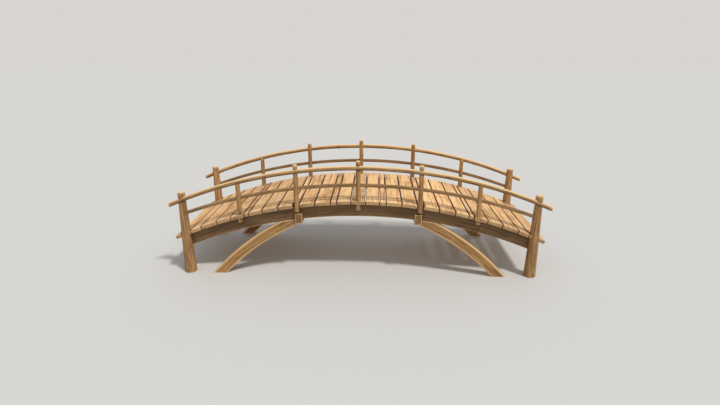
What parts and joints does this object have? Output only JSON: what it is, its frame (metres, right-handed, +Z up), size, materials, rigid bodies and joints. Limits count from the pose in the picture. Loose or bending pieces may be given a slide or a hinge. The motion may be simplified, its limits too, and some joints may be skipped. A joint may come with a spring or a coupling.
{
  "type": "moon bridge",
  "caption": "Arched timber footbridge with crosswise deck boards on two curved girders, curved struts, tapered end posts and a bent railing along each side.",
  "frame": {"origin": "on the ground in the middle of the bridge", "axes": "+X along the bridge, +Y across it towards the back railing, +Z up"},
  "size_m": [7.566, 2.276, 2.377],
  "materials": {
    "deck": "dry sawn boards, worn pale",
    "frame": "sawn timber, matt",
    "post": "peeled round logs, matt",
    "rail": "peeled round poles, matt"
  },
  "bodies": {
    "root": {"board_centre": "deck", "board_end_left": "deck", "board_end_right": "deck", "board_short_post_left": "deck", "board_short_post_right": "deck", "board_tall_post_left": "deck", "board_tall_post_right": "deck", "boards_inner_left": "deck", "boards_inner_right": "deck", "boards_middle_left": "deck", "boards_middle_right": "deck", "boards_outer_left": "deck", "boards_outer_right": "deck", "centre_post_back": "post", "centre_post_front": "post", "crossbeam_left": "frame", "crossbeam_right": "frame", "end_post_back_left": "post", "end_post_back_right": "post", "end_post_front_left": "post", "end_post_front_right": "post", "girder_back": "frame", "girder_front": "frame", "mid_rail_back": "rail", "mid_rail_front": "rail", "short_post_back_left": "post", "short_post_back_right": "post", "short_post_front_left": "post", "short_post_front_right": "post", "strut_back_left": "frame", "strut_back_right": "frame", "strut_front_left": "frame", "strut_front_right": "frame", "tall_post_back_left": "post", "tall_post_back_right": "post", "tall_post_front_left": "post", "tall_post_front_right": "post", "top_rail_back": "rail", "top_rail_front": "rail"}
  },
  "joints": []
}
